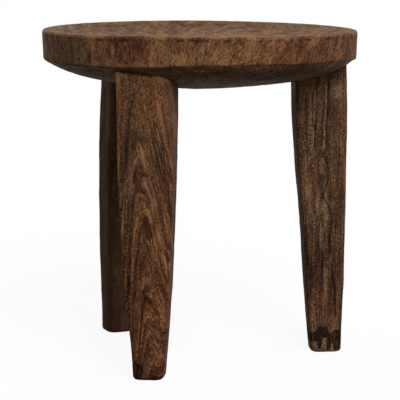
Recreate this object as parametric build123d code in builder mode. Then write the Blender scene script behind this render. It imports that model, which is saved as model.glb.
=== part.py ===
"""Round three-legged stool in solid hardwood: a dished seat and three tapered legs.

Each leg is scribed to the domed underside of the seat and let into it by a round blind tenon.
Frame: +Z up, origin on the floor under the centre of the seat, millimetres.
"""

import os
from math import cos, radians, sin

from build123d import *

os.makedirs("parts", exist_ok=True)

# Seat, its depths measured down from the top of the lip
seat_diameter = 400.0
stool_height = 417.0
rim_depth = 35.0  # height of the outer band
rim_draft = 1.6  # the band is this much smaller in radius at its foot
lip_round = 3.0
band_foot_round = 1.2

lip_inner_radius = 190.0  # where the rounded lip turns down into the dish
lip_inner_slope = 0.42
dish_wall_radius = 150.0  # where the steeper wall of the dish meets its floor
dish_wall_depth = 9.5
dish_depth = 14.5

arris_radius = 190.0  # the bevel under the band ends at this crease
arris_depth = 41.0
arris_slope = 0.72  # the underside falls this steeply just inside the crease
shoulder_radius = 170.0  # the underside is steep outside this radius, nearly flat within it
shoulder_depth = 51.2
dome_points = ((125.0, 62.3), (65.0, 70.0))  # radius and depth of two points on the flatter part
underside_depth = 74.0  # the lowest point, at the centre

# Legs: (height, nearest and farthest distance from the seat's axis, width across)
leg_stations = (
    (0.0, 145.8, 183.6, 34.7),
    (90.0, 136.8, 184.6, 46.9),
    (190.0, 129.9, 185.7, 59.1),
    (290.0, 121.5, 186.0, 65.4),
    (388.0, 119.7, 184.0, 67.6),
)
corner_share = 0.16  # corner radius of a leg's section, as a share of its width
foot_round = 4.0

# Direction of each leg seen from above, at its foot and where it meets the seat, and how far
# its squared section is turned out of that direction
leg_angles = {
    "leg_front_left": (-111.2, -115.2, 13.4),
    "leg_right": (1.2, 0.3, 3.1),
    "leg_rear_left": (132.9, 126.8, -20.1),
}

# Tenon and socket
tenon_radius = 19.0
tenon_top = 392.0  # height of the tenon's end, well inside the seat
tenon_chamfer = 2.0
tenon_centre_radius = 152.0  # distance of the tenon's centre from the seat's axis
glue_gap = 0.1  # around the tenon
socket_spare = 2.0  # above the tenon

seat_radius = seat_diameter / 2


def polar(radius, angle, height=0.0):
    """A point given by its distance from the seat's axis, its direction and its height."""
    return Vector(radius * cos(radians(angle)), radius * sin(radians(angle)), height)


def below_top(radius, depth):
    """A point of the seat's section, measured down from the top of the lip."""
    return (radius, stool_height - depth)


# The seat as turned and carved, before the sockets are bored: one section turned about Z
with BuildPart() as seat_blank:
    with BuildSketch(Plane.XZ):
        with BuildLine():
            lip_inner = below_top(lip_inner_radius, 0)
            band_top = below_top(seat_radius, 0)
            band_foot = below_top(seat_radius - rim_draft, rim_depth)
            arris = below_top(arris_radius, arris_depth)
            underside_centre = below_top(0, underside_depth)
            dish_centre = below_top(0, dish_depth)
            Polyline(lip_inner, band_top, band_foot, arris)
            Spline(
                arris,
                below_top(shoulder_radius, shoulder_depth),
                *(below_top(radius, depth) for radius, depth in dome_points),
                underside_centre,
                tangents=((-1.0, -arris_slope), (-1.0, 0.0)),
            )
            Line(underside_centre, dish_centre)
            Spline(
                dish_centre,
                below_top(dish_wall_radius, dish_wall_depth),
                lip_inner,
                tangents=((1.0, 0.0), (1.0, lip_inner_slope)),
            )
        make_face()
    revolve(axis=Axis.Z)
    rings = seat_blank.edges().filter_by(GeomType.CIRCLE)
    band_foot_ring = rings.filter_by(lambda ring: abs(ring.center().Z - band_foot[1]) < 0.01)
    fillet(rings.group_by(Axis.Z)[-1], lip_round)
    fillet(band_foot_ring, band_foot_round)

# The finished seat, with a blind socket for each tenon
with BuildPart() as seat:
    add(seat_blank)
    for foot_angle, top_angle, turn in leg_angles.values():
        socket_mouth = polar(tenon_centre_radius, top_angle, stool_height - underside_depth)
        with BuildSketch(Plane(origin=socket_mouth)):
            Circle(tenon_radius + glue_gap)
        extrude(amount=tenon_top + socket_spare - socket_mouth.Z, mode=Mode.SUBTRACT)
seat.part.label = "seat"
export_step(seat.part, "parts/seat.step")


def leg_direction(foot_angle, top_angle, height):
    """The direction of a leg at a height: its top stands a few degrees round from its foot."""
    return foot_angle + (top_angle - foot_angle) * height / stool_height


def make_leg(label, foot_angle, top_angle, turn):
    """One leg: a tapered blank scribed to the underside of the seat, with its tenon."""
    with BuildPart() as leg:
        for height, inner, outer, width in leg_stations:
            angle = leg_direction(foot_angle, top_angle, height)
            centre = polar((inner + outer) / 2, angle, height)
            with BuildSketch(Plane(origin=centre, x_dir=polar(1, angle + turn), z_dir=(0, 0, 1))):
                RectangleRounded(outer - inner, width, corner_share * width)
        loft()
        fillet(leg.edges().group_by(Axis.Z)[0], foot_round)
        add(seat_blank, mode=Mode.SUBTRACT)  # scribed to the underside
        tenon_root = stool_height - underside_depth  # below the scribed shoulder
        with BuildSketch(Plane(origin=polar(tenon_centre_radius, top_angle, tenon_root))):
            Circle(tenon_radius)
        extrude(amount=tenon_top - tenon_root)
        chamfer(leg.edges().group_by(Axis.Z)[-1], tenon_chamfer)
    leg.part.label = label
    export_step(leg.part, f"parts/{label}.step")


for label, angles in leg_angles.items():
    make_leg(label, *angles)
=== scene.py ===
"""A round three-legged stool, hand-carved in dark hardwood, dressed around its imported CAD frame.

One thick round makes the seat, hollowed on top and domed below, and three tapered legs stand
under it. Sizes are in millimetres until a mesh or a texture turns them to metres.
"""

import math

import bpy
import numpy as np
from mathutils import Matrix, noise


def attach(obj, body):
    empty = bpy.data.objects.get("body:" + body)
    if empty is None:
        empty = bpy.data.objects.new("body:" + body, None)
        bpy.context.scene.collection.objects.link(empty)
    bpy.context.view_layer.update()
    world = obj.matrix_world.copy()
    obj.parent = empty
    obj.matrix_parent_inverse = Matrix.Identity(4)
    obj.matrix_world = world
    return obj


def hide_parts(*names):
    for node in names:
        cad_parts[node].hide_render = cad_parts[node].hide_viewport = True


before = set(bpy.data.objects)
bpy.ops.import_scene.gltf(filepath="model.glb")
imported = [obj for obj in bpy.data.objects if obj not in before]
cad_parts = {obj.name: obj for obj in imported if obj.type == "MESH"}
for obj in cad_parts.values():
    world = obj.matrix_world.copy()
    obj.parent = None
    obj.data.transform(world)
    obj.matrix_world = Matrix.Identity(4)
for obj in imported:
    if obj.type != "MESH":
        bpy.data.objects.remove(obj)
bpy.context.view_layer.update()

# ----------------------------------------------------------------------------------------------
# Seat. A slab sawn across a hardwood log, so its grain stands upright and its top is end grain.
# The top is hollowed with a gouge to a shallow dish inside a narrow lip, the edge is left as a
# plain upright band, and the underside is adzed to a low dome behind a bevel.
# ----------------------------------------------------------------------------------------------

seat_top = 417.0
seat_radius = 200.0
seat_columns = 580

dish_depth = 14.5
dish_radius = 190.0
dish_edge = 186.0  # the dish's own curve ends at this radius, and the lip's bend begins
dish_steepness = 4.5  # the higher, the flatter its floor and the steeper its wall
lip_bend = 190.2  # radius at which the dish's wall would meet the lip if it weren't bent over
lip_inner_radius = 194.0
lip_round = 3.5

band_surface = 199.0  # where the band's upright face is taken to lie
band_foot_radius = 198.5
band_foot_round = 1.8
band_middle = 400.0  # height of its middle
crease_radius = 190.0
crease_depth = 41.0
crease_reach = 12.0  # inside the crease, its wander dies away over this distance

dome_depth = 75.5  # at the middle of the underside
dome_slope = 0.11
dome_tip_round = 25.0
dome_rim_rise = 15.9  # how far the dome has turned up where it meets the crease
dome_rim_power = 6.2  # the higher, the nearer the crease it turns up
dome_inner_radius = 3.0

# A nick in the foot of the band, its direction and spread in degrees
notch_direction = -75.3
notch_spread = 0.5
notch_depth = 1.6

# (direction in degrees seen from above, mm), which give the hand-cut edge its wander
lip_rise = [(-165, -0.5), (-140, -0.8), (-125, -0.5), (-115, 0.2), (-105, 1.1), (-94, 0.4),
            (-80, 0.4), (-60, -0.7), (-50, 0.1), (-40, -0.6), (-25, -0.1), (-6, -0.9), (20, -0.9),
            (45, -0.3), (80, 0.6), (95, 1.1), (120, 1.0), (140, 0.7), (160, 0.2)]
band_foot = [(-165, 37.5), (-148, 38.0), (-133, 37.8), (-121, 37.6), (-113, 36.0), (-104, 35.8),
             (-98, 33.6), (-88, 33.6), (-75, 32.9), (-60, 33.2), (-48, 33.3), (-35, 33.2),
             (-22, 33.4), (-4, 36.2), (20, 36.0), (70, 35.6), (120, 34.8), (160, 36.4)]
crease_drift = [(-170, 1.2), (-140, 0.4), (-110, -0.6), (-80, 0.5), (-50, -0.8), (-20, 0.6),
                (30, -1.0), (80, 0.9), (130, -0.7)]

column_angles = np.linspace(-math.pi, math.pi, seat_columns, endpoint=False)
column_degrees = np.degrees(column_angles)
flat = np.zeros(seat_columns)  # spreads a plain number over every column when it is added


def near(values, middle, reach):
    """1 where the values are at middle, fading smoothly to almost 0 at twice the reach from it."""
    return np.exp(-(((values - middle) / reach) ** 2))


def around(stations, keep=22):
    """A value at each column of the seat, eased through (direction, value) stations."""
    known = np.array(sorted(stations))
    waves = np.fft.rfft(np.interp(column_degrees, known[:, 0], known[:, 1], period=360))
    waves *= np.exp(-((np.arange(len(waves)) / keep) ** 2))
    return np.fft.irfft(waves, seat_columns)


def lumps(points, size, seed, octaves=1):
    """Smooth noise, about -1 to 1, at points in mm. size is a lump's width, along each axis."""
    places = (np.asarray(points) / size + 17.31 * seed).reshape(-1, 3).tolist()
    values = [noise.fractal(place, 0.9, 2.0, octaves) for place in places]
    return np.reshape(values, np.shape(points)[:-1])


def scoops(points, size, seed):
    """Tool marks side by side, level on the whole: -0.4 in the middle of each shallow cut and 0.6
    on the ridges between."""
    places = (np.asarray(points) / size + 9.17 * seed).reshape(-1, 3).tolist()
    nearest = np.array([noise.voronoi(place)[0][:2] for place in places])
    return ((nearest[:, 0] / nearest[:, 1]) ** 2).reshape(np.shape(points)[:-1]) - 0.4


def curve(start, corner, end, count):
    """Radius and depth along a bend from start to end that leans on corner, start left out."""
    share = np.linspace(0, 1, count + 1)[1:, None]
    return [
        (1 - share) ** 2 * (a + flat) + 2 * share * (1 - share) * (b + flat) + share**2 * (c + flat)
        for a, b, c in zip(start, corner, end)
    ]


def straight(start, end, count):
    """Radius and depth along a straight line from start to end, start left out."""
    middle = [(a + b) / 2 for a, b in zip(start, end)]
    return curve(start, middle, end, count)


def dome(radius):
    """Depth below the lip of a wide shallow cone that turns up at its rim."""
    cone = np.sqrt(radius**2 + dome_tip_round**2) - dome_tip_round
    rim = (radius / crease_radius) ** dome_rim_power
    return dome_depth - dome_slope * cone - dome_rim_rise * rim


def underside_depth(radius, crease_here):
    """Depth of the underside below the lip: a dome whose rim follows the wandering crease."""
    radius = np.minimum(radius, crease_radius)
    wander = crease_here - dome(crease_radius)
    return dome(radius) + wander * np.exp((radius - crease_radius) / crease_reach)


rise = -around(lip_rise)
rim_line = np.stack([np.cos(column_angles), np.sin(column_angles), flat], axis=-1) * seat_radius
notch = near(column_degrees, notch_direction, notch_spread)
foot_depth = (
    around(band_foot)
    + 0.55 * lumps(rim_line, 9.0, seed=1.0)
    + 0.40 * lumps(rim_line, 3.0, seed=2.0)
    - notch_depth * notch
)
crease = crease_depth + around(crease_drift) + 0.5 * lumps(rim_line, 14.0, seed=3.0)

# The seat's outline in columns, as rows of radius and of depth below the lip
share = np.linspace(0.016, 1.0, 60)[:, None]
dish_r = dish_edge * share + flat
outward = dish_r / dish_radius
dish_d = dish_depth * (1 - outward**dish_steepness) + rise * outward**5
quarter_turn = np.linspace(0, math.pi / 2, 7)[1:, None]
lip_r = seat_radius - lip_round + lip_round * np.sin(quarter_turn) + flat
lip_d = lip_round - lip_round * np.cos(quarter_turn) + rise
foot_edge = (band_foot_radius, foot_depth - 2.0)
bevel_top = (band_foot_radius - band_foot_round, foot_depth + 1.0)
inward = np.linspace(0, 1, 52)[1:, None] ** 1.25
under_r = crease_radius - (crease_radius - dome_inner_radius) * inward + flat
top_part = [
    (dish_r, dish_d),
    curve((dish_r[-1], dish_d[-1]), (lip_bend, rise - 0.05), (lip_inner_radius, rise), 6),
    straight((lip_inner_radius, rise), (seat_radius - lip_round, rise), 2),
    (lip_r, lip_d),
]
band_part = [
    straight((seat_radius, rise + lip_round), foot_edge, 28),
    curve(foot_edge, (band_foot_radius, foot_depth), bevel_top, 4),
]
under_part = [
    straight(bevel_top, (crease_radius, crease), 7),
    (under_r, underside_depth(under_r, crease)),
]
radius, depth = (np.vstack(rows) for rows in zip(*(top_part + band_part + under_part)))
top_end = sum(len(rows) for rows, _ in top_part)
band_end = top_end + sum(len(rows) for rows, _ in band_part)
top_rows, band_rows, under_rows = slice(top_end), slice(top_end, band_end), slice(band_end, None)
smooth_seat = np.stack(
    [radius * np.cos(column_angles), radius * np.sin(column_angles), seat_top - depth], axis=-1
)


def normals(grid):
    """Outward direction at each point of a closed grid whose rows run from the top inwards."""
    along = np.roll(grid, -1, axis=1) - np.roll(grid, 1, axis=1)
    down = np.gradient(grid, axis=0)
    out = np.cross(down, along)
    return out / np.maximum(np.linalg.norm(out, axis=-1, keepdims=True), 1e-9)


def turned(points, degrees):
    """Points turned about the upright axis, so that a tool mark can run another way."""
    c, s = math.cos(math.radians(degrees)), math.sin(math.radians(degrees))
    return points @ np.array([[c, s, 0.0], [-s, c, 0.0], [0.0, 0.0, 1.0]])


# What the tools left: long gouge marks in the dish, upright chisel cuts on the band, adze scoops
top_skin, band_skin, under_skin = (
    smooth_seat[rows] for rows in (top_rows, band_rows, under_rows)
)
gouge_ridges = np.zeros(radius.shape)
gouge_ridges[top_rows] = scoops(turned(top_skin, -23.0), (13.0, 62.0, 60.0), seed=5.0)
relief = np.zeros(radius.shape)
relief[top_rows] = (
    0.30 * lumps(top_skin, 52.0, seed=4.0)
    + 0.70 * gouge_ridges[top_rows]
    + 0.10 * lumps(top_skin, 6.0, seed=6.0)
) * np.clip((196.0 - radius[top_rows]) / 24.0, 0.2, 1)
relief[band_rows] = (
    0.40 * lumps(band_skin, (46.0, 46.0, 70.0), seed=7.0)
    + 0.30 * scoops(band_skin, (15.0, 15.0, 34.0), seed=8.0)
    + 0.16 * lumps(band_skin, (3.2, 3.2, 12.0), seed=9.0, octaves=2)
)
relief[under_rows] = (
    0.80 * scoops(under_skin, (26.0, 26.0, 40.0), seed=10.0)
    + 0.25 * lumps(under_skin, 7.0, seed=11.0)
)
on_lip = near(radius, 197.0, 4.0) * (depth < 8.0)
relief += 0.22 * on_lip * lumps(smooth_seat, 9.0, seed=12.0, octaves=2)
relief *= np.clip(radius / 20.0, 0, 1)  # calm where the columns meet in the middle
seat_grid = smooth_seat + normals(smooth_seat) * relief[..., None]


def patches(points, places):
    """How far inside a stain each point is: 1 in its middle, 0 outside. Each place has a centre,
    how far it reaches along x, y and z, and a strength."""
    field = np.zeros(points.shape[:-1])
    ragged = 0.4 * lumps(points, (4.0, 4.0, 11.0), seed=21.0, octaves=2)
    for centre, reach, strength in places:
        away = np.linalg.norm((points - np.array(centre)) / np.array(reach), axis=-1) + ragged
        field = np.maximum(field, strength * np.clip(1.45 - 0.9 * away, 0, 1))
    return field


def soft_zones(points, zones):
    """Gentle changes of tone. Each zone has a centre, its reach along x, y and z, and a change."""
    field = np.zeros(points.shape[:-1])
    for centre, reach, change in zones:
        away = np.linalg.norm((points - np.array(centre)) / np.array(reach), axis=-1)
        field += change * near(away, 0.0, 1.0)
    return field


def on_band(degrees, below, wide, tall, strength):
    """A stain or a change of tone on the band: its direction, its depth below the lip, its half
    sizes and its strength."""
    direction = math.radians(degrees)
    reach = band_surface - 1.0
    centre = (reach * math.cos(direction), reach * math.sin(direction), seat_top - below)
    return centre, (wide, wide, tall), strength


seat_dark = [
    on_band(-119.5, 4, 16, 6, 0.75),
    on_band(-112, 9, 10, 9, 0.65),
    on_band(-115.9, 26.5, 12, 4, 0.75),
    on_band(-131.5, 26, 4, 10, 0.7),
    on_band(-141, 20, 4, 16, 0.5),
    on_band(-122.5, 15, 3, 14, 0.7),
    on_band(-91, 3, 10, 3, 0.7),
    on_band(-94.5, 14, 3, 5, 0.6),
    on_band(-52, 12, 9, 15, 0.5),
    on_band(-56, 30, 9, 4, 0.6),
    on_band(-62, 4, 6, 3, 0.6),
    on_band(-24, 14, 7, 16, 0.6),
    on_band(20, 22, 12, 8, 0.8),
    on_band(75, 9, 14, 6, 0.8),
    on_band(118, 24, 9, 9, 0.8),
    on_band(160, 12, 6, 12, 0.7),
    ((-148, 20, 410), (9, 12, 6), 0.9),
    ((-63, 55, 404), (16, 14, 6), 0.4),
    ((115, 91, 404), (12, 22, 6), 0.5),
    ((74, 125, 405), (12, 12, 6), 0.6),
    ((-101, 125, 405), (14, 12, 6), 0.5),
    ((40, -90, 404), (24, 14, 6), 0.45),
]
# Some of these are painted light and shade: the top lighter towards the front and darker at the
# back left, and the recess between the seat and the front left leg's shoulder lightened where it
# lies in shade
seat_zones = [
    on_band(-78, 18, 60, 30, 0.09),
    on_band(-112, 18, 16, 30, -0.03),
    on_band(-126, 18, 16, 30, 0.05),
    on_band(-125, 33, 36, 5, 0.08),
    on_band(-94, 18, 16, 30, 0.06),
    on_band(-67, 18, 9, 30, 0.06),
    on_band(-55, 18, 30, 30, -0.14),
    on_band(-20, 18, 14, 30, 0.12),
    on_band(-71, 33, 40, 5, 0.08),
    on_band(-30, 18, 50, 30, -0.14),
    ((20, -110, 404), (150, 70, 60), 0.14),
    ((20, 40, 404), (150, 130, 60), 0.09),
    ((-90, 60, 404), (60, 60, 60), -0.05),
    ((-64, -180, 373), (44, 26, 12), 0.42),
    ((-70, 130, 404), (120, 50, 60), -0.05),
]
red_zones = [
    on_band(-178, 18, 24, 40, 0.35),
    on_band(-140, 18, 34, 30, -0.20),
    on_band(-114, 18, 20, 30, 0.30),
    on_band(-50, 18, 60, 30, 0.13),
    on_band(-16, 18, 22, 30, -0.30),
    ((-60, 110, 404), (120, 50, 60), 0.22),
    ((20, -110, 404), (150, 60, 60), -0.15),
]
calm_zones = [on_band(-150, 18, 70, 30, -0.25)]
seat_pale = [
    on_band(-97, 24, 14, 9, 0.8),
    on_band(-78, 16, 22, 12, 0.5),
    on_band(-125.5, 20, 3, 9, 0.7),
    on_band(-30, 28, 8, 5, 0.6),
    on_band(45, 14, 16, 9, 0.6),
    on_band(140, 20, 18, 8, 0.6),
    ((30, 110, 404), (46, 30, 6), 0.4),
    ((-40, -60, 404), (40, 26, 6), 0.4),
]


def lines_on(across, height, lines, width, taper):
    """Single dark or pale lines of the figure. Each has a strength and a run of (across, height)
    points from its top down, and fades out at both ends."""
    field = np.zeros(height.shape)
    for strength, path in lines:
        places, levels = np.array(path[::-1]).T
        ends = np.clip((levels[-1] - height) / taper + 0.5, 0, 1)
        ends = ends * np.clip((height - levels[0]) / taper + 0.5, 0, 1)
        line = near(across, np.interp(height, levels, places), width)
        field = np.maximum(field, strength * line * ends)
    return field


# Single strokes on the band. Across is the way round the seat from its front, in mm
band_strokes = [
    (1, [(-78.3, 406.6), (-81.5, 400.9), (-84.8, 397.8), (-88.6, 395.1)]),
    (0.9, [(-57, 414.1), (-61.7, 409.9), (-65.5, 405.7), (-71.1, 398.2)]),
    (0.8, [(-53, 413), (-58.6, 405.9)]),
    (0.8, [(-116.5, 401.3), (-117.3, 392.9)]),
    (0.7, [(-100.8, 410.1), (-102.9, 402.9)]),
    (0.6, [(-161.5, 410.1), (-162.6, 398.1)]),
    (0.7, [(-196.8, 398.8), (-198.2, 390.2)]),
    (0.8, [(-89.3, 388.6), (-90, 383.3)]),
    (0.8, [(7.9, 410.7), (7.3, 397.8)]),
    (0.5, [(-2.6, 410.7), (-3.2, 402.5)]),
    (0.9, [(125.5, 399.2), (122.3, 388.6)]),
    (0.9, [(129.3, 405), (124.9, 392.1)]),
    (1, [(142.6, 397.4), (139.2, 383.2)]),
    (0.9, [(149, 404.3), (142.7, 395.6)]),
    (0.8, [(155.1, 406.4), (149.9, 398.3)]),
    (0.4, [(57.3, 409.2), (47.7, 392.9)]),
    (0.4, [(82.6, 411.1), (75, 394.8)]),
    (0.9, [(260, 405), (256, 393)]),
    (0.7, [(300, 411), (297, 400)]),
    (0.8, [(-300, 402), (-304, 388)]),
    (0.9, [(-420, 408), (-423, 394)]),
    (0.8, [(430, 404), (425, 390)]),
    (0.7, [(520, 410), (516, 398)]),
    (0.8, [(-540, 404), (-543, 390)]),
]
band_pale_strokes = [
    (1.2, [(-108.8, 406.3), (-108.9, 394.5)]),
    (0.7, [(42.7, 414), (29.7, 397.8)]),
]


def carved_piece(name, grid, fields):
    """A closed skin over a grid of points, rows by columns, drawn in to a point at both ends.
    Each field is a number at every point, kept on the mesh for the material to read."""
    rows, columns = grid.shape[:2]
    ends = np.stack([grid[0].mean(axis=0), grid[-1].mean(axis=0)])
    points = np.vstack([grid.reshape(-1, 3), ends]) / 1000.0
    index = np.arange(rows * columns).reshape(rows, columns)
    beside = np.roll(index, -1, axis=1)
    quads = np.stack([index[:-1], index[1:], beside[1:], beside[:-1]], axis=-1).reshape(-1, 4)
    first, last = rows * columns, rows * columns + 1
    faces = quads.tolist()
    faces += [(first, a, b) for a, b in zip(index[0].tolist(), beside[0].tolist())]
    faces += [(last, b, a) for a, b in zip(index[-1].tolist(), beside[-1].tolist())]
    mesh = bpy.data.meshes.new(name)
    mesh.from_pydata(points.tolist(), [], faces)
    mesh.polygons.foreach_set("use_smooth", [True] * len(mesh.polygons))
    for field, values in fields.items():
        ends = [values[0].mean(), values[-1].mean()]
        layer = mesh.attributes.new(field, "FLOAT", "POINT")
        layer.data.foreach_set("value", np.append(values.ravel(), ends).astype(np.float32))
    piece = bpy.data.objects.new(name, mesh)
    bpy.context.scene.collection.objects.link(piece)
    return piece


def linear(code):
    """A colour written as sRGB hex, as the renderer's linear red, green, blue and alpha."""
    channels = [int(code[place : place + 2], 16) / 255 for place in (1, 3, 5)]
    return [c / 12.92 if c <= 0.04045 else ((c + 0.055) / 1.055) ** 2.4 for c in channels] + [1.0]


def add_node(tree, kind, inputs=None, output=0, **settings):
    """Adds a node with its settings and gives its output. An input is a value or a link's start."""
    made = tree.nodes.new("ShaderNode" + kind)
    for setting, value in settings.items():
        setattr(made, setting, value)
    for socket, value in (inputs or {}).items():
        if isinstance(value, bpy.types.NodeSocket):
            tree.links.new(value, made.inputs[socket])
        else:
            made.inputs[socket].default_value = value
    return None if output is None else made.outputs[output]


def number(tree, operation, *values):
    """Arithmetic on numbers: what a Math node makes of these values or sockets."""
    return add_node(tree, "Math", dict(enumerate(values)), operation=operation)


def vector(tree, operation, *values):
    """Arithmetic on vectors: what a Vector Math node makes of these values or sockets."""
    return add_node(tree, "VectorMath", dict(enumerate(values)), operation=operation)


def ramp(tree, value, start, end, low=0.0, high=1.0, **settings):
    """low while a value is below start, high above end, and rising between them."""
    return add_node(tree, "MapRange", {0: value, 1: start, 2: end, 3: low, 4: high}, **settings)


def blend(tree, share, first, second, **settings):
    """Two colours, mixed or put together in the way that the settings name."""
    inputs = {0: share, 6: first, 7: second}
    return add_node(tree, "Mix", inputs, 2, data_type="RGBA", **settings)


def on_mesh(tree, field):
    """A number that is kept at each point of the mesh."""
    return add_node(tree, "Attribute", output="Fac", attribute_name=field)


def cell_noise(tree, place, size, detail, roughness=0.5, output=0):
    """Noise around 0.5 with cells of a size in mm along each axis."""
    cell = vector(tree, "DIVIDE", place, size)
    inputs = {"Vector": cell, "Scale": 1.0, "Detail": detail, "Roughness": roughness}
    return add_node(tree, "TexNoise", inputs, output)


def empty_tree(owner):
    """The node tree of a material or a world, with nothing in it yet."""
    owner.use_nodes = True
    owner.node_tree.nodes.clear()
    return owner.node_tree


# Colour of cracks and figure lines, and of the painted shade line under the band's foot
dark_mark_tone = "#160e0b"


def carved_hardwood(name, tones, tints, grain, rings, gloss, lean=0.0):
    """Dark oiled hardwood cut by hand. tones are its dark, middle and pale colours, and tints what
    its redder and its greener heartwood multiply them by. grain lists what varies its tone: how
    much, its size in mm across and along, its turn in degrees, its detail and where it shows, the
    first two being the fibres and the flecks. One that shows in the rings also runs along them.
    rings gives the pith's place and its tilt, how fast a ring drifts along the grain, a ring's
    width, its wander and its ripple. lean slants the fibres of its right-hand side."""
    material = bpy.data.materials.new(name)
    tree = empty_tree(material)
    place = add_node(tree, "TexCoord", output="Object")
    mm = vector(tree, "MULTIPLY", place, (1000, 1000, 1000))

    # The log grew unevenly, so its rings and fibres wander by up to a centimetre
    bent = mm
    for size, length, reach in ((60, 150, rings["wander"]), (8, 26, rings["ripple"])):
        push = cell_noise(tree, mm, (size, size, length), 1.0, output="Color")
        push = vector(tree, "SUBTRACT", push, (0.5, 0.5, 0.5))
        bent = vector(tree, "MULTIPLY_ADD", push, (reach, reach, reach), bent)
    parts = add_node(tree, "SeparateXYZ", {0: bent}).node.outputs

    # Distance from the pith, which drifts along the grain so that the rings close in arches
    height = add_node(tree, "CombineXYZ", {"X": parts["Z"]})
    pith = vector(tree, "MULTIPLY_ADD", (rings["tilt"], 0.0, 0.0), height, (*rings["pith"], 0.0))
    across = vector(tree, "MULTIPLY", vector(tree, "SUBTRACT", bent, pith), (1, 1, 0))
    ring = add_node(tree, "VectorMath", {0: across}, output="Value", operation="LENGTH")
    ring = number(tree, "MULTIPLY_ADD", parts["Z"], rings["drift"], ring)
    ring = number(tree, "ADD", ring, on_mesh(tree, "ring_bulge"))
    sideways = number(tree, "SUBTRACT", parts["X"], parts["Y"])
    in_rings = add_node(tree, "CombineXYZ", {"X": ring, "Y": sideways, "Z": parts["Z"]})
    bands = cell_noise(tree, in_rings, rings["width"], 4.0, 0.7)
    tone = number(tree, "SUBTRACT", bands, 0.5)
    tone = number(tree, "MULTIPLY_ADD", tone, on_mesh(tree, "ring_show"), 0.5)

    # Fibres and the short vessels between them, thin across the grain and long along it
    slant = ramp(tree, parts["X"], -25.0, 15.0, 0.0, lean)
    shift = number(tree, "MULTIPLY", number(tree, "SUBTRACT", parts["Z"], band_middle), slant)
    fibre_place = vector(tree, "SUBTRACT", bent, add_node(tree, "CombineXYZ", {"X": shift}))
    layers = []
    for amount, size, turn_about, detail, where in grain:
        if where == "rings":
            at, where = in_rings, "figure"
        else:
            turn = {"Vector": fibre_place, "Angle": math.radians(turn_about)}
            at = add_node(tree, "VectorRotate", turn, rotation_type="Z_AXIS")
        layers.append(cell_noise(tree, at, size, detail, 0.6))
        change = number(tree, "SUBTRACT", layers[-1], 0.5)
        if where:
            change = number(tree, "MULTIPLY", change, on_mesh(tree, where))
        tone = number(tree, "MULTIPLY_ADD", change, amount, tone)

    # Stains, worn places and painted highlights, with edges frayed by the rings and the fibres
    fibres, flecks = layers[:2]
    fray = number(tree, "ADD", number(tree, "MULTIPLY_ADD", bands, 2.4, fibres), flecks)
    for field, most in (("dark_stain", -0.40), ("pale_wear_and_highlight", 0.22)):
        change = number(tree, "ADD", fray, on_mesh(tree, field))
        change = ramp(tree, change, 2.6, 3.1, 0.0, most, interpolation_type="SMOOTHSTEP")
        tone = number(tree, "ADD", tone, change)
    tone = number(tree, "ADD", tone, on_mesh(tree, "tone_shift"))
    colour = blend(tree, ramp(tree, tone, 0.0, 0.5), linear(tones[0]), linear(tones[1]))
    colour = blend(tree, ramp(tree, tone, 0.5, 1.0), colour, linear(tones[2]))

    # Redder and greener patches of heartwood, and dark marks: cracks, lines of the figure, and a
    # painted shade line under the band's foot
    cell = vector(tree, "DIVIDE", bent, (16.0, 16.0, 42.0))
    cell = vector(tree, "ADD", cell, (7.7, 3.1, 5.3))
    zone = cell_noise(tree, cell, (1.0, 1.0, 1.0), 4.0, 0.65)
    zone = number(tree, "SUBTRACT", zone, on_mesh(tree, "redness"))
    tint = blend(tree, ramp(tree, zone, 0.20, 0.80), *tints)
    colour = blend(tree, 1.0, colour, tint, blend_type="MULTIPLY")
    colour = blend(tree, on_mesh(tree, "dark_mark"), colour, linear(dark_mark_tone))

    # Worn fibres stand proud of the vessels, and handling has polished the palest wood the most
    roughness = ramp(tree, tone, 0.1, 0.9, 0.98, 0.80)
    roughness = number(tree, "MULTIPLY_ADD", on_mesh(tree, "polish"), -0.38, roughness)
    surface = number(tree, "MULTIPLY_ADD", fibres, 1.2, flecks)
    bump = add_node(tree, "Bump", {"Strength": 0.6, "Distance": 0.0005, "Height": surface})
    skin = add_node(tree, "BsdfPrincipled", {
        "Base Color": colour, "Roughness": roughness, "Normal": bump, "IOR": 1.5,
        "Specular IOR Level": gloss,
    })
    add_node(tree, "OutputMaterial", {"Surface": skin}, output=None)
    return material


# End grain on top shows as mottling crossed by gouge cuts, and on the band as short upright
# streaks that lean over on one side. Oil and handling left it a dull brown with a little sheen.
seat_wood = carved_hardwood(
    "adzed_hardwood_end_grain",
    tones=("#281a13", "#664530", "#9c7550"),
    tints=((1.07, 0.95, 0.92, 1), (0.915, 1.065, 1.03, 1)),
    grain=[
        (1.3, (2.4, 2.4, 5.8), 0.0, 3.0, "figure"),
        (1.5, (1.35, 1.35, 2.6), 0.0, 2.0, "figure"),
        (1.1, (20.0, 20.0, 34.0), 0.0, 3.0, "figure"),
        (0.7, (6.5, 6.5, 40.0), 0.0, 2.0, "figure"),
        (0.6, (3.2, 30.0, 20.0), 24.0, 2.0, "dish"),
    ],
    rings={
        "pith": (60.0, 120.0), "tilt": 0.0, "drift": 0.02, "width": (9.0, 60.0, 40.0),
        "wander": 14.0, "ripple": 2.0,
    },
    gloss=0.05,
    lean=0.6,
)

# Where each thing shows on the seat
lip_edge_rows = 5  # the outermost rows of the top look like the band
dish = np.zeros(radius.shape)
dish[: top_end - lip_edge_rows] = 1.0
under = np.interp(depth, (36.0, 40.0), (0.0, 1.0))
# A painted shade line on the bevel just below the band's foot, where the band shades it
foot_shade_line = near(depth - foot_depth, 1.6, 0.9) * (0.8 + 0.5 * lumps(seat_grid, 11.0, seed=22.0))
# Painted highlights along the lip's outer edge and on the ridge just above the crease, where light
# catches them
crease_edge = near(depth - crease, -1.2, 1.0) * (0.9 + 0.5 * lumps(seat_grid, 17.0, seed=23.0))
lip_edge = near(radius, band_surface, 1.2) * (depth < 3.0)
chips = np.clip(1.7 * lumps(seat_grid, 9.0, seed=24.0, octaves=2), 0, 1)
chips = near(depth - rise, 4.5, 2.0) * chips

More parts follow.
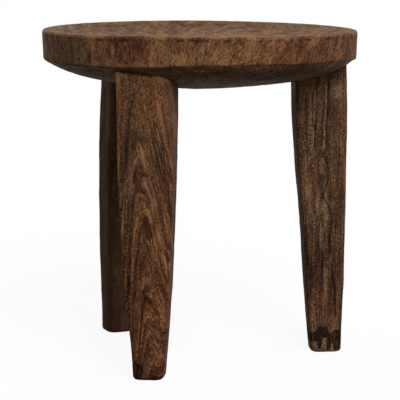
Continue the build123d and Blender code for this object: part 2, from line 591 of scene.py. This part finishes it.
from_front = (column_degrees + 90.0 + 180.0) % 360.0 - 180.0
round_band = np.radians(from_front) * band_surface
height = seat_top - depth
broken = np.clip(1.0 + 0.5 * lumps(seat_grid, 3.5, seed=28.0), 0, 1)
outside = radius > 197.0
strokes = lines_on(round_band, height, band_strokes, 1.7, 2.5) * broken * outside
pale_strokes = lines_on(round_band, height, band_pale_strokes, 2.2, 2.5) * outside
seat = carved_piece(
    "seat_adzed_wood",
    seat_grid,
    {
        "dark_stain": np.maximum(patches(seat_grid, seat_dark), 1.1 * chips),
        "pale_wear_and_highlight": np.maximum.reduce(
            [patches(seat_grid, seat_pale), 0.25 * lip_edge + 0.75 * crease_edge, pale_strokes]
        ),
        "dark_mark": np.maximum.reduce(
            [0.75 * notch * near(depth, 33.0, 3.0), 0.35 * foot_shade_line, 0.75 * strokes]
        ),
        "dish": dish,
        "figure": 1.0 - 0.5 * dish + soft_zones(seat_grid, calm_zones),
        "redness": (
            0.19 + 0.15 * seat_grid[..., 0] / seat_radius - 0.43 * dish - 0.6 * under
            + soft_zones(seat_grid, red_zones)
        ),
        "ring_show": 0.5 + 0.4 * dish,
        "ring_bulge": np.zeros(radius.shape),
        "polish": 0.55 - 0.2 * dish,
        # The underside is painted darker, partly as its own darker wood and partly as painted shade
        "tone_shift": soft_zones(seat_grid, seat_zones) - 0.16 * under + 0.12 * gouge_ridges,
    },
)
seat.data.materials.append(seat_wood)
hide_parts("seat")
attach(seat, "root")

# ----------------------------------------------------------------------------------------------
# Legs. Three squared billets of the same hardwood, tapered with an adze and left slightly
# faceted, with their grain running lengthwise. Each shoulder is scribed to the domed underside,
# and its top is closed just inside the seat.
# ----------------------------------------------------------------------------------------------

leg_columns = 240
leg_rows = 300
foot_round = 3.5
foot_squareness = 3.4  # 2 would be an oval, and the higher the squarer
side_squareness = 3.1  # added to it further up, over the squaring length
squaring_start = -5.0
squaring_length = 110.0
corner_spread = 0.5
arris_spread = 0.09
fuller = 0.4  # the dressed sides stand this far outside their stations
flare_reach = 5.5
edge_blur = 1.4  # how softly a stain on a foot ends
shoulder_overlap = 1.5  # a leg's skin runs on this far into the seat
shoulder_guess = 350.0
scribing_passes = 6

# (height, nearest and farthest distance from the seat's axis, width across)
leg_stations = np.array([
    (0.0, 145.8, 183.6, 34.7),
    (90.0, 136.8, 184.6, 46.9),
    (190.0, 129.9, 185.7, 59.1),
    (290.0, 121.5, 186.0, 65.4),
    (388.0, 119.7, 184.0, 67.6),
])
leg_shape = [np.polyfit(leg_stations[:, 0], leg_stations[:, column], 4) for column in (1, 2, 3)]
leg_angles = np.linspace(0, 2 * math.pi, leg_columns, endpoint=False)


def off_bearing(bearing):
    """Angle of each column of a leg from this bearing in degrees, in radians, -pi to pi."""
    return np.angle(np.exp(1j * (leg_angles - math.radians(bearing))))


def leg_skin(leg, heights):
    """Points of a leg's surface at these heights, one row for each, before any tool marks."""
    inner, outer, width = (np.polyval(shape, heights) for shape in leg_shape)
    direction = np.radians(leg["foot"] + (leg["top"] - leg["foot"]) * heights / seat_top)
    facing = direction + math.radians(leg["turn"])
    middle = (inner + outer) / 2
    c, s = np.cos(leg_angles), np.sin(leg_angles)
    crisper = sum(
        sharper * near(off_bearing(bearing), 0.0, corner_spread)
        for bearing, sharper in leg["crisp"]
    )
    squared = np.clip((heights - squaring_start) / squaring_length, 0, 1)
    power = foot_squareness + (side_squareness + crisper) * squared
    across, along = np.abs(c) / ((outer - inner) / 2), np.abs(s) / (width / 2)
    reach = (across**power + along**power) ** (-1 / power) + fuller
    for height, length, bearing, swell in leg["swells"]:
        side = np.clip(np.cos(leg_angles - math.radians(bearing)), 0, 1)
        reach = reach + swell * side * near(heights, height, length)
    x = middle * np.cos(direction) + reach * (c * np.cos(facing) - s * np.sin(facing))
    y = middle * np.sin(direction) + reach * (c * np.sin(facing) + s * np.cos(facing))
    return np.stack([x, y, heights + 0 * x], axis=-1)


def seat_underside(points):
    """Height of the seat's underside above each point, for scribing a shoulder to it."""
    degrees = np.degrees(np.arctan2(points[..., 1], points[..., 0]))
    crease_here = np.interp(degrees, column_degrees, crease, period=360)
    return seat_top - underside_depth(np.hypot(points[..., 0], points[..., 1]), crease_here)


def drawn_in(ring, middle, shares):
    """Rows of points that draw a ring in towards a middle, each to a share of its size."""
    return np.concatenate([middle + (ring - middle) * share for share in shares])


def leg_form(leg):
    """A leg before its tool marks, from the middle of the sole, out round its edge, up the sides
    and in over the shoulder. Gives its points, which rows are its sides, and how far below the
    seat each point of them is."""
    shoulder = np.full((1, leg_columns), shoulder_guess)
    for _ in range(scribing_passes):
        shoulder = seat_underside(leg_skin(leg, shoulder))
    shoulder = shoulder + shoulder_overlap
    heights = foot_round + (shoulder - foot_round) * np.linspace(0, 1, leg_rows)[:, None]
    sides = leg_skin(leg, heights)
    for bearing, spread, flare in leg["flares"]:
        push = flare * near(off_bearing(bearing), 0.0, spread)
        push = push * np.exp((heights - shoulder) / flare_reach)
        out = math.radians(leg["top"] + leg["turn"] + bearing)
        sides[..., 0] += push * math.cos(out)
        sides[..., 1] += push * math.sin(out)

    sole_turn = np.linspace(0, math.pi / 2, 10)[:-1, None]
    sole_line = leg_skin(leg, np.zeros((1, leg_columns)))
    sole_middle = sole_line.mean(axis=1, keepdims=True)
    outward = sole_line - sole_middle
    outward /= np.linalg.norm(outward, axis=-1, keepdims=True)
    edge = sole_line - outward * (foot_round * (1 - np.sin(sole_turn)))[..., None]
    edge[..., 2] = foot_round * (1 - np.cos(sole_turn))
    sole = drawn_in(edge[:1], sole_middle, (0.05, 0.35, 0.7))
    cap_middle = sides[-1:].mean(axis=1, keepdims=True)
    cap = drawn_in(sides[-1:], cap_middle, (0.96, 0.6, 0.2, 0.03))
    cap[..., 2] = np.minimum(cap[..., 2], sides[-1:, :, 2])
    grid = np.concatenate([sole, edge, sides, cap])
    side_rows = slice(len(sole) + len(edge), len(grid) - len(cap))
    below_seat = np.full(grid.shape[:2], np.inf)
    below_seat[side_rows] = shoulder - shoulder_overlap - heights
    return grid, side_rows, below_seat


def on_face(y, deep, spots):
    """Stains or changes of tone on the face of a leg that lies at y, reaching this deep. Each has
    its x and height, its reach along x and its reach along the height, and its strength."""
    return [((x, y, z), (wide, deep, tall), strength) for x, z, wide, tall, strength in spots]


# What stands in a leg's entry. Bearings run round the leg from its outer face, in degrees.
#   foot, top, turn     directions from the seat's axis at the floor and at the seat's top, and how
#                       far the leg's section is turned out of them
#   crisp               corners that aren't like the others: bearing and how much crisper
#   swells              fuller or leaner places on the sides: height, length, bearing and mm
#   flares              where the shoulder spreads at the seat: bearing, spread and mm
#   rings, knots        the log's growth rings, and where a knot pushes them outwards, in mm
#   ring_show, redness  how much of each there is, low on the leg and high on it
#   grain, streak       how much the fibres and the flecks show, and the size of a fibre
#   figure, calm        how much the fibres show along the rings, and where they show less
#   zones, red_zones    changes of tone and of redness, many of them painted light and shade
#   darkest, rubbed     its darkest tone, and how strongly the painted highlight just below the shoulder and the painted shade line above it show
#   dark, pale          stains and worn places
#   dark_lines, pale_lines  single lines of the figure, as (x, height)
#   damp                where it stood in the wet: the stain's upper and lower edge, as (x, height)
legs = [
    {
        "node": "leg_front_left", "foot": -111.2, "top": -115.2, "turn": 13.4,
        "crisp": [(-45.0, 8.0), (45.0, -1.4)],
        "swells": [
            (100, 75, 90, 1.5), (5, 35, -90, 2.4), (350, 80, -60, -2.6), (105, 50, -55, 1.3),
        ],
        "flares": [(-80.0, 0.5, 6.5), (10.0, 0.9, 2.0)],
        "rings": {
            "pith": (-53.7, -160.0), "tilt": -0.06, "drift": 0.11, "width": (3.2, 90.0, 150.0),
            "wander": 4.0, "ripple": 1.1,
        },
        "knots": [((-68, -184, 238), (9, 60, 12), 2.0)],
        "ring_show": (1.9, 0.8), "redness": (0.46, 0.02),
        "grain": (1.3, 1.65), "streak": (1.25, 11.0, 30.0), "figure": 0.95,
        "calm": [((-66, -184, 335), (60, 60, 45), -0.65), ((-66, -184, 210), (60, 60, 30), -0.25)],
        "darkest": "#1c110c", "shoulder_light_and_shade": 0.9,
        # Many of these are painted light and shade: the face darker on its left and lighter on its
        # right as the lamp falls on it, its top lightened where the seat's shadow falls, and the
        # strip on its right lightened where it lies in shade
        "zones": on_face(y=-184, deep=60, spots=[
            (-66, 345, 60, 40, 0.03), (-66, 370, 60, 10, 0.08), (-66, 180, 60, 60, -0.03),
            (-93, 285, 14, 55, -0.21), (-66, 330, 14, 40, 0.16), (-46, 315, 14, 34, 0.09),
            (-85, 115, 11, 70, -0.23), (-47, 118, 14, 26, 0.07), (-84, 60, 10, 30, -0.07),
            (-56, 45, 14, 24, 0.06), (-84, 290, 10, 20, -0.06), (-80, 60, 14, 40, 0.05),
        ]) + on_face(y=-184, deep=14, spots=[
            (-54, 367, 34, 6, 0.20), (-40, 372, 20, 8, 0.10),
        ]) + [
            ((-97, -160, 220), (9, 14, 120), 0.20), ((-71, -184, 267), (8, 20, 10), 0.30),
            ((-28, -170, 320), (7, 30, 70), 0.26), ((-103, -155, 370), (8, 24, 9), 0.30),
            ((-32, -174, 368), (12, 24, 9), 0.16),
        ],
        "red_zones": on_face(y=-184, deep=60, spots=[
            (-56, 345, 30, 30, 0.10), (-90, 270, 14, 60, -0.15), (-70, 262, 12, 14, -0.20),
            (-48, 190, 16, 60, 0.12),
        ]) + [
            # Painted light: the shaded strip on the right, lightened above, is also made less red
            ((-28, -170, 320), (7, 30, 70), -0.35),
        ],
        "dark": on_face(y=-184, deep=60, spots=[
            (-65, 193, 4, 9, 0.8), (-62, 183, 7, 8, 0.75), (-64, 150, 7, 34, 0.4),
            (-75, 8, 7, 13, 1.6), (-53, 1, 14, 5, 1.4),
        ]) + on_face(y=-184, deep=20, spots=[
            (-68, 295, 11, 6, 0.7), (-83, 327, 3, 15, 0.9), (-67, 340, 9, 2.5, 0.7),
            (-68, 252, 8, 3, 0.7), (-78, 288, 4, 9, 0.8), (-77, 247, 4, 9, 0.9),
            (-66, 138, 7, 9, 0.55), (-87, 283, 4, 37, 0.5), (-71, 102, 9, 7, 0.5),
            (-40, 102, 2.5, 49, 0.5), (-78, 53, 5, 30, 0.5),
        ]),
        "pale": on_face(y=-184, deep=20, spots=[
            (-68, 279, 8, 7, 1.0), (-67, 240, 7, 6, 0.8), (-68, 332, 6, 7, 0.8),
            (-65, 207, 8, 4, 0.9), (-47, 283, 7, 24, 0.5), (-56, 328, 7, 12, 0.5),
            (-59, 169, 6, 5, 0.7), (-56, 71, 7, 22, 0.7), (-55, 42, 6, 11, 0.7),
            (-59, 102, 5, 12, 0.5),
        ]),
        "dark_lines": [
            (0.6, [(-63, 326), (-57.5, 304), (-48.2, 285), (-42.8, 265), (-38, 242), (-35, 211),
                   (-33, 181)]),
            (0.6, [(-53, 316), (-48, 304), (-38.8, 277), (-34.8, 258), (-30.5, 235)]),
            (0.5, [(-59, 303), (-54.8, 290), (-48.2, 267.6), (-42.8, 245)]),
            (0.45, [(-44, 330), (-40, 310), (-35, 290)]),
            (0.5, [(-64.5, 280), (-57, 256), (-50, 229), (-46, 211), (-42, 187), (-39, 157),
                   (-37, 126)]),
            (0.4, [(-65.3, 201), (-69, 187), (-73, 163), (-75, 142)]),
            (0.4, [(-64.7, 201), (-60, 187), (-53, 163), (-46, 136), (-41, 108)]),
            (0.6, [(-76.4, 348), (-80.9, 336), (-83.4, 323), (-85, 310), (-88, 265), (-91, 241)]),
            (0.4, [(-75, 259), (-81, 241), (-84, 211), (-85.5, 181)]),
            (0.35, [(-60, 120), (-54, 102), (-48, 78), (-46, 53)]),
        ],
        "pale_lines": [
            (0.8, [(-69, 281), (-76.5, 268), (-81, 250), (-82.5, 229)]),
            (0.8, [(-68.5, 281), (-60, 265), (-52.5, 241), (-47.5, 214)]),
            (1.0, [(-66, 210), (-73.5, 199), (-78, 181), (-81, 151), (-82, 120)]),
            (1.0, [(-65.5, 210), (-54, 193), (-44, 163), (-38, 126)]),
            (0.6, [(-60, 151), (-66.5, 132), (-68, 114)]),
        ],
    },
    {
        "node": "leg_right", "foot": 1.2, "top": 0.3, "turn": 3.1, "crisp": [(-135.0, 8.0)],
        "swells": [(240, 45, 180, 1.1), (85, 30, 0, 1.1), (5, 35, 180, 1.6), (350, 25, 180, -1.0)],
        "flares": [(180.0, 0.7, 3.0)],
        "rings": {
            "pith": (20.0, -10.0), "tilt": 0.0, "drift": 0.012, "width": (5.0, 40.0, 90.0),
            "wander": 9.0, "ripple": 1.6,
        },
        "knots": [((153, -34, 242), (11, 40, 24), 6.0), ((158, -34, 193), (9, 40, 20), 5.0)],
        "ring_show": (1.3, 0.6), "redness": (-0.25, -0.3),
        "grain": (0.95, 1.8), "streak": (1.4, 3.0, 24.0), "figure": 1.0,
        "calm": [((155, -34, 225), (60, 60, 45), -0.5), ((182, -20, 300), (14, 40, 90), -0.35)],
        "darkest": "#1f1713", "shoulder_light_and_shade": 0.15,
        # Among these, painted light: the top of the face is lightened where the seat's shadow falls
        # on it
        "zones": on_face(y=-34, deep=60, spots=[
            (160, 350, 60, 34, 0.06), (165, 110, 60, 50, -0.08), (126, 352, 16, 22, 0.22),
            (150, 350, 14, 24, 0.12), (156, 290, 12, 24, -0.06), (174, 185, 12, 22, -0.07),
            (143, 100, 9, 60, -0.17), (135, 345, 22, 20, 0.12), (170, 340, 12, 18, 0.08),
            (160, 82, 9, 24, 0.08),
        ]),
        "red_zones": on_face(y=-20, deep=60, spots=[
            (184, 310, 13, 60, 0.45), (182, 160, 13, 100, 0.28), (158, 60, 20, 30, 0.25),
        ]) + [
            # Painted light: there the lightened top is also made less red and greyer
            ((135, -34, 345), (26, 60, 34), -0.4),
        ],
        "dark": on_face(y=-34, deep=20, spots=[
            (163, 350, 2.5, 14, 0.8), (153, 227, 6, 10, 0.7), (166, 205, 2, 14, 0.6),
            (166, 151, 2.5, 22, 0.9), (174, 73, 3, 37, 0.8), (132, 138, 3, 61, 0.5),
            (141, 73, 4, 43, 0.6),
        ]),
        "pale": on_face(y=-34, deep=20, spots=[
            (175.5, 340, 7, 11, 0.9), (157, 193, 10, 16, 1.0), (156, 157, 4, 20, 0.8),
            (154, 125, 5, 31, 0.7), (160, 86, 5, 24, 0.6), (142, 304, 4, 37, 0.6),
            (139, 209, 6, 31, 0.7), (144.5, 183, 6, 24, 0.6),
        ]),
        "damp": (
            [(140, 20), (145, 27), (152, 28), (153.5, 34.5), (165, 34.5), (167, 26), (172, 26),
             (176, 29), (190, 29)],
            [(140, 12), (146, 15), (153, 16), (154.5, 5), (158, 5), (159.5, 20), (165, 20),
             (167, 4), (171, 4), (172, 12), (175, 12), (176.5, 3), (190, 3)],
        ),
        "dark_lines": [
            (0.75, [(162, 352), (161.7, 326), (161.2, 307), (160.4, 288), (161.3, 266)]),
            (0.7, [(156, 259), (162.5, 246), (164, 230), (160, 217), (157, 207), (161.5, 198),
                   (168, 188), (169, 169), (166, 149), (169, 133)]),
            (0.8, [(171, 110), (174.5, 78), (176.5, 45)]),
            (0.5, [(136.5, 162), (138.5, 130), (140.5, 97)]),
            (0.7, [(142.2, 339), (142.5, 307), (145.6, 288), (146, 268)]),
            (0.7, [(147.5, 350), (147.3, 326), (146.8, 307), (145.6, 288)]),
            (0.6, [(156.5, 350), (156.2, 326), (155.8, 307), (155.1, 288), (154, 270)]),
            (0.5, [(134.5, 335), (134.8, 307), (135.6, 280), (136, 260)]),
            (0.5, [(169, 326), (169.5, 300), (168, 276)]),
            (0.6, [(157, 150), (158, 120), (159, 90)]),
        ],
        "pale_lines": [
            (1.2, [(138.8, 346), (139.4, 326), (139, 307), (139.3, 285)]),
            (1.2, [(144.7, 338), (145, 307), (144, 299)]),
            (1.2, [(151.2, 348), (150.5, 326), (149.7, 307), (148.8, 286)]),
            (1.3, [(159.7, 353), (159.2, 326), (158.4, 307), (157.6, 288), (157.4, 268)]),
            (1.3, [(146.5, 260), (156.5, 254), (162, 243), (165, 227)]),
            (1.3, [(146, 260), (140, 256), (138, 243)]),
            (1.2, [(157, 196), (163, 182), (160, 166), (154.5, 156)]),
            (0.9, [(152.5, 162), (154.5, 130), (158, 97)]),
        ],
    },
    {
        "node": "leg_rear_left", "foot": 132.9, "top": 126.8, "turn": -20.1,
        "crisp": [(-45.0, 8.0)],
        "swells": [(350, 90, 90, 0.7)],
        "flares": [(180.0, 0.7, 3.0)],
        "rings": {
            "pith": (-85.0, 60.0), "tilt": 0.0, "drift": 0.05, "width": (5.0, 40.0, 90.0),
            "wander": 11.0, "ripple": 1.8,
        },
        "knots": [((-128, 130, 120), (14, 14, 26), 12.0)],
        "ring_show": (0.45, 0.35), "redness": (-0.4, -0.4),
        "grain": (0.9, 0.8), "streak": (1.4, 3.0, 30.0), "figure": 0.7,
        "calm": [((-128, 100, 150), (60, 40, 200), -0.3)],
        "darkest": "#1f1713", "shoulder_light_and_shade": 0.15,
        # Painted shade and light: the whole leg is darkened as the seat's shadow on it, and its
        # inner face is lightened where it lies deep in shade
        "zones": [
            ((-110, 130, 200), (90, 90, 400), -0.11), ((-100, 83, 285), (30, 20, 75), 0.50),
            ((-100, 83, 190), (30, 20, 50), 0.06), ((-127, 105, 240), (12, 24, 120), -0.04),
        ],
        "red_zones": [],
        "dark": [((-118, 158, 25), (16, 12, 10), 0.9), ((-105, 158, 210), (8, 14, 30), 0.7)],
        "pale": [((-96, 158, 300), (10, 12, 26), 0.6)],
        "dark_lines": [],
        "pale_lines": [],
    },
]


def wet_marks(grid, y, edges):
    """What standing in the wet left on a foot: how dark each point is between the stain's upper and
    lower edge, and how bleached below it. Both fade where the leg turns back, which y tells."""
    along_face = grid[..., 0] + 0.8 * np.clip(grid[..., 1] + 16.0, 0, None)
    upper, lower = (np.interp(along_face, *np.array(edge).T) for edge in edges)
    height = grid[..., 2]
    torn = 1.6 * lumps(grid, (2.4, 2.4, 8.0), seed=25.0, octaves=2)
    inside = np.minimum(upper - height, height - lower) + torn
    fade = np.interp(y + 1.5 * torn, (-15.0, -5.0), (1.0, 0.13))
    damp = np.clip(inside / edge_blur + 0.5, 0, 1) * fade
    bleached = np.clip((lower - height + torn) / edge_blur, 0, 1) * fade
    return damp, bleached


for leg in legs:
    smooth, side_rows, below_seat = leg_form(leg)
    x, y, z = np.moveaxis(smooth, -1, 0)
    sides = smooth[side_rows]
    on_front = np.clip(0.95 + 0.6 * lumps(smooth, (5.0, 5.0, 13.0), seed=26.0), 0, 1)
    on_front *= y < y.mean()
    dark_mark = 1.3 * lines_on(x, z, leg["dark_lines"], 0.95, 7.0) * on_front
    pale_lines = 1.15 * lines_on(x, z, leg["pale_lines"], 1.4, 7.0) * on_front
    relief = np.zeros(z.shape)
    relief[side_rows] = (
        0.55 * lumps(sides, (40.0, 40.0, 85.0), seed=leg["foot"])
        + 0.45 * scoops(sides, (17.0, 17.0, 44.0), seed=leg["foot"] + 1)
        + 0.16 * lumps(sides, (2.6, 2.6, 30.0), seed=leg["foot"] + 2, octaves=2)
    )
    relief -= 0.7 * dark_mark
    fade = np.clip(below_seat / 3.0, 0, 1) * np.clip(z / 8.0, 0, 1)
    grid = smooth + normals(smooth[::-1])[::-1] * (relief * fade)[..., None]

    damp = bleached = np.zeros(z.shape)
    if "damp" in leg:
        damp, bleached = wet_marks(grid, y, leg["damp"])

    # Just below the seat a painted highlight stands in for the light that the seat's shadow takes
    # away, with a painted shade line above it in the joint, and the crispest corner gets a painted
    # highlight all the way down
    speckle = np.clip(0.45 + 2.2 * lumps(grid, 2.2, seed=27.0, octaves=2), 0, 1.6)
    shoulder_light_and_shade = near(below_seat, 3.9, 1.5) * speckle - 0.25 * near(below_seat, 0.0, 2.2)
    shoulder_light_and_shade *= leg["shoulder_light_and_shade"]
    shoulder_highlight = 0.4 * near(below_seat, 0.0, 3.2)
    crispest = leg["crisp"][0][0]
    arris = 0.8 * near(off_bearing(crispest), 0.0, arris_spread) * (below_seat < np.inf)
    flat_sawn = np.interp(y - y.mean(axis=1, keepdims=True), (-20.0, 2.0), (1.0, 0.5))
    wood = carved_hardwood(
        "adzed_hardwood_long_grain_" + leg["node"],
        tones=(leg["darkest"], "#573b2a", "#9b7150"),
        tints=((1.09, 0.925, 0.80, 1), (0.955, 1.045, 1.12, 1)),
        grain=[
            (leg["grain"][0], leg["streak"], 0.0, 3.0, "rings"),
            (leg["grain"][1], (1.3, 1.3, 2.6), 0.0, 2.0, None),
            (0.5, (18.0, 18.0, 34.0), 0.0, 3.0, None),
        ],
        rings=leg["rings"],
        gloss=0.03,
    )
    fields = {
        "dark_stain": np.maximum(patches(grid, leg["dark"]), 3.0 * damp),
        "pale_wear_and_highlight": np.maximum.reduce(
            [patches(grid, leg["pale"]), pale_lines, shoulder_highlight, arris, 1.2 * bleached]
        ),
        "dark_mark": 1.1 * dark_mark,
        "ring_show": np.interp(z, (240.0, 330.0), leg["ring_show"]) * flat_sawn,
        "ring_bulge": soft_zones(grid, leg["knots"]),
        "figure": leg["figure"] + soft_zones(grid, leg["calm"]),
        "redness": (
            np.interp(grid[..., 2], (60.0, 210.0), leg["redness"])
            + soft_zones(grid, leg["red_zones"])
        ),
        "polish": np.full(z.shape, 0.5),
        "tone_shift": soft_zones(grid, leg["zones"]) - 0.12 * damp + shoulder_light_and_shade,
    }
    from_top = {field: values[::-1] for field, values in fields.items()}
    piece = carved_piece(leg["node"] + "_adzed_wood", grid[::-1], from_top)
    piece.data.materials.append(wood)
    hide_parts(leg["node"])
    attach(piece, "root")

# ----------------------------------------------------------------------------------------------
# Studio. A pale seamless floor, a large soft lamp high in front and a little to the right, dimmer
# ones around it, and a faint surround that fills the shade.
# ----------------------------------------------------------------------------------------------

floor_half = 25.0
floor_glow = 0.90
surround = 0.045


def shown_white(tree):
    """1 for what the camera sees, also in gloss or glass, and 0 for light thrown on the wood."""
    rays = add_node(tree, "LightPath").node.outputs
    reflected = number(tree, "MAXIMUM", rays["Is Glossy Ray"], rays["Is Transmission Ray"])
    return number(tree, "MAXIMUM", rays["Is Camera Ray"], reflected)


corners = [(-floor_half, -floor_half, 0), (floor_half, -floor_half, 0)]
corners += [(floor_half, floor_half, 0), (-floor_half, floor_half, 0)]
floor_mesh = bpy.data.meshes.new("studio_floor")
floor_mesh.from_pydata(corners, [], [(0, 1, 2, 3)])
floor = bpy.data.objects.new("studio_floor", floor_mesh)
bpy.context.scene.collection.objects.link(floor)
# Seen, it is white paper that keeps a faint shadow. On the wood it throws back only a little light
paper = bpy.data.materials.new("white_background_paper")
tree = empty_tree(paper)
matte = add_node(tree, "BsdfDiffuse", {"Color": (0.11, 0.11, 0.11, 1)})
glow = add_node(tree, "Emission", {"Color": (1, 1, 1, 1), "Strength": floor_glow})
white = add_node(tree, "AddShader", {0: matte, 1: glow})
dull = add_node(tree, "BsdfDiffuse", {"Color": (0.06, 0.058, 0.055, 1)})
both = add_node(tree, "MixShader", {0: shown_white(tree), 1: dull, 2: white})
add_node(tree, "OutputMaterial", {"Surface": both}, output=None)
floor_mesh.materials.append(paper)

world = bpy.data.worlds.new("studio_surround")
bpy.context.scene.world = world
tree = empty_tree(world)
strength = ramp(tree, shown_white(tree), 0.0, 1.0, surround, 1.0)
glow = add_node(tree, "Background", {"Color": (1, 1, 1, 1), "Strength": strength})
add_node(tree, "OutputWorld", {"Surface": glow}, output=None)

# Each lamp: direction it stands in seen from above, height, how wide it looks, strength
for lamp_name, bearing, height, spread, strength in (
    ("soft_key", -75.0, 39.0, 34.0, 2.25),
    ("side_fill", -20.0, 28.0, 40.0, 0.85),
    ("top_fill", -90.0, 84.0, 50.0, 0.25),
    ("back_fill", 110.0, 44.0, 70.0, 0.62),
    ("rear_fill", 75.0, 16.0, 60.0, 0.45),
    ("left_fill", 185.0, 28.0, 40.0, 0.07),
):
    lamp = bpy.data.lights.new(lamp_name, "SUN")
    lamp.energy = strength
    lamp.angle = math.radians(spread)
    stand = bpy.data.objects.new(lamp_name, lamp)
    bpy.context.scene.collection.objects.link(stand)
    stand.rotation_euler = (math.radians(90.0 - height), 0.0, math.radians(bearing + 90.0))

# The camera stands 2.4 m in front and a little above the seat, and looks slightly down
camera_place = (0.0008, -2.4, 0.5422)
camera_tilt = 8.189
camera_roll = 0.160
camera_data = bpy.data.cameras.new("camera")
camera_data.sensor_width = 36.0
camera_data.lens = 169.37
camera_data.clip_end = 60.0
camera = bpy.data.objects.new("camera", camera_data)
bpy.context.scene.collection.objects.link(camera)
camera.matrix_world = (
    Matrix.Translation(camera_place)
    @ Matrix.Rotation(math.radians(90.0 - camera_tilt), 4, "X")
    @ Matrix.Rotation(math.radians(camera_roll), 4, "Z")
)
bpy.context.scene.camera = camera
bpy.context.scene.view_settings.view_transform = "Standard"
